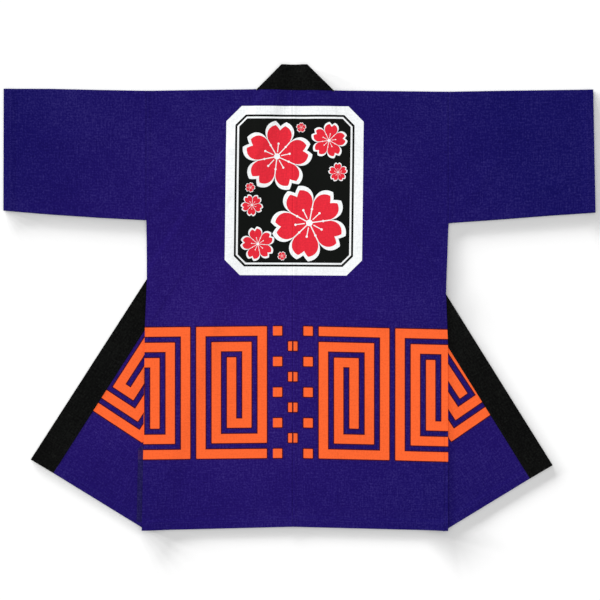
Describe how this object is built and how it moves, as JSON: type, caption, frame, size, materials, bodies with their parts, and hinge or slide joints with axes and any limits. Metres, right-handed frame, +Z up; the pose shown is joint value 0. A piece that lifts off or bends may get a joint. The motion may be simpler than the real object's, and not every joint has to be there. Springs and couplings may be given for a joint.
{
  "type": "happi coat",
  "caption": "Short indigo cotton festival coat with straight sleeves and a black collar band, laid flat with its back up and its fronts turned outward underneath",
  "frame": {"origin": "middle of the laid coat's outline, on the surface that it lies on", "axes": "+X towards the right sleeve as seen from above, +Y towards the neck, +Z up, out of the coat's back"},
  "size_m": [1.1427, 0.9009, 0.0066],
  "materials": {
    "indigo_cotton": "matte",
    "black_cotton": "matte"
  },
  "bodies": {
    "root": {"body_left": "indigo_cotton", "body_right": "indigo_cotton", "sleeve_left": "indigo_cotton", "sleeve_right": "indigo_cotton", "collar": "black_cotton"}
  },
  "joints": []
}
